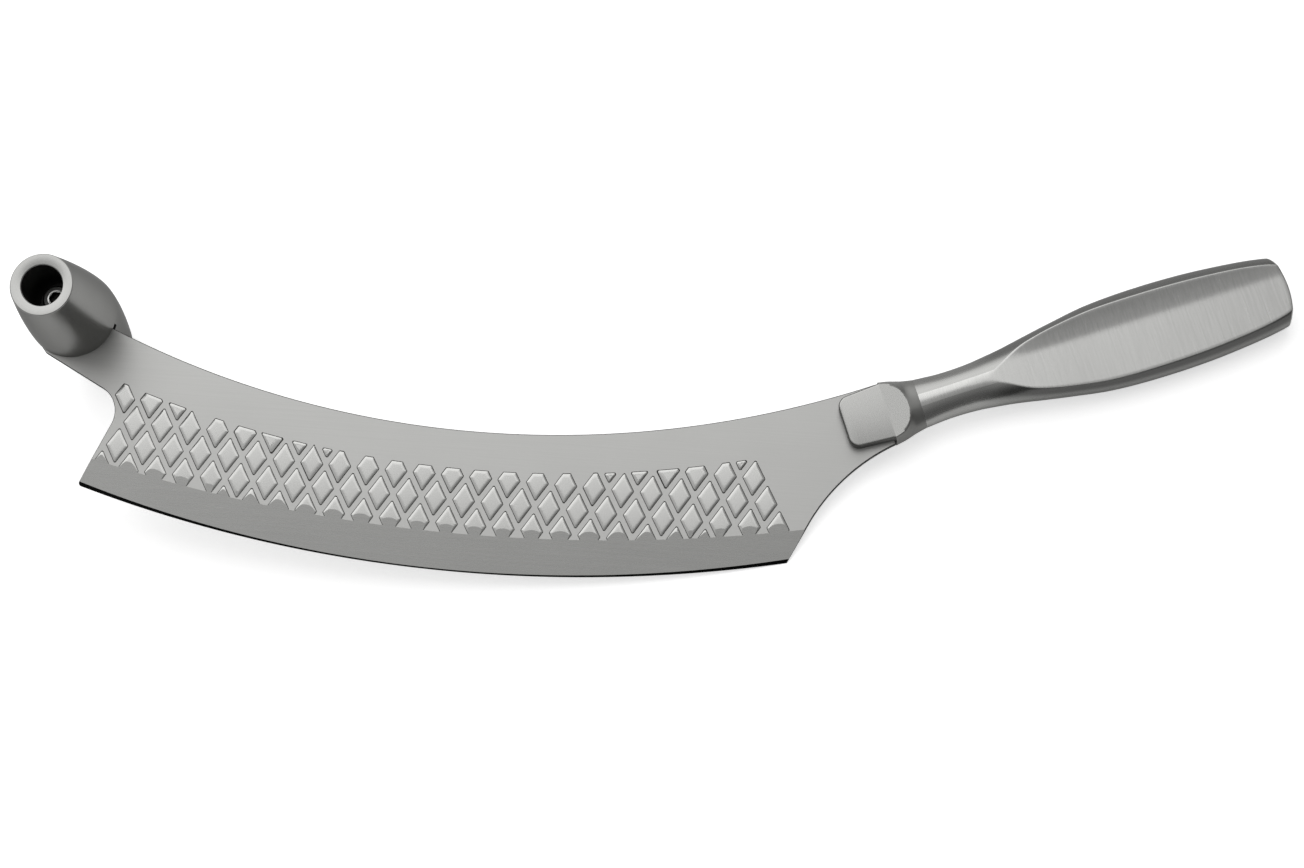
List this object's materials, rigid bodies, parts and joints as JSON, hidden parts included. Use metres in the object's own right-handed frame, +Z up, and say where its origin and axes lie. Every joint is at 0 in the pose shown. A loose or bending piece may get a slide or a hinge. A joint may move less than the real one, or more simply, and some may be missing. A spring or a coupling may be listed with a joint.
{
  "type": "cheese knife",
  "caption": "Two-handed steel cheese knife: curved blade with raised lozenges, bolster with flat pads, hollow faceted handle, and a bored barrel grip set across the tip.",
  "frame": {"origin": "on the table, under the middle of the knife's bounding box, with the knife lying at rest on the rim of the grip, the cutting edge and the back of the handle", "axes": "+X along the knife from the cross grip towards the handle, +Y from the cutting edge towards the spine, +Z up from the table; the front face of the blade looks up and leans with the rest"},
  "size_m": [0.3806, 0.121, 0.0735],
  "materials": {
    "blade_steel": "lengthwise brushed faces, ground edge",
    "bolster_steel": "satin cast collar, brushed pads",
    "handle_steel": "cross-brushed facets, satin back",
    "grip_steel": "fine turned satin",
    "screw_steel": "bright turned head"
  },
  "bodies": {
    "root": {"blade": "blade_steel", "bolster": "bolster_steel", "handle_shell": "handle_steel", "cross_grip": "grip_steel", "grip_screw": "screw_steel"}
  },
  "joints": []
}
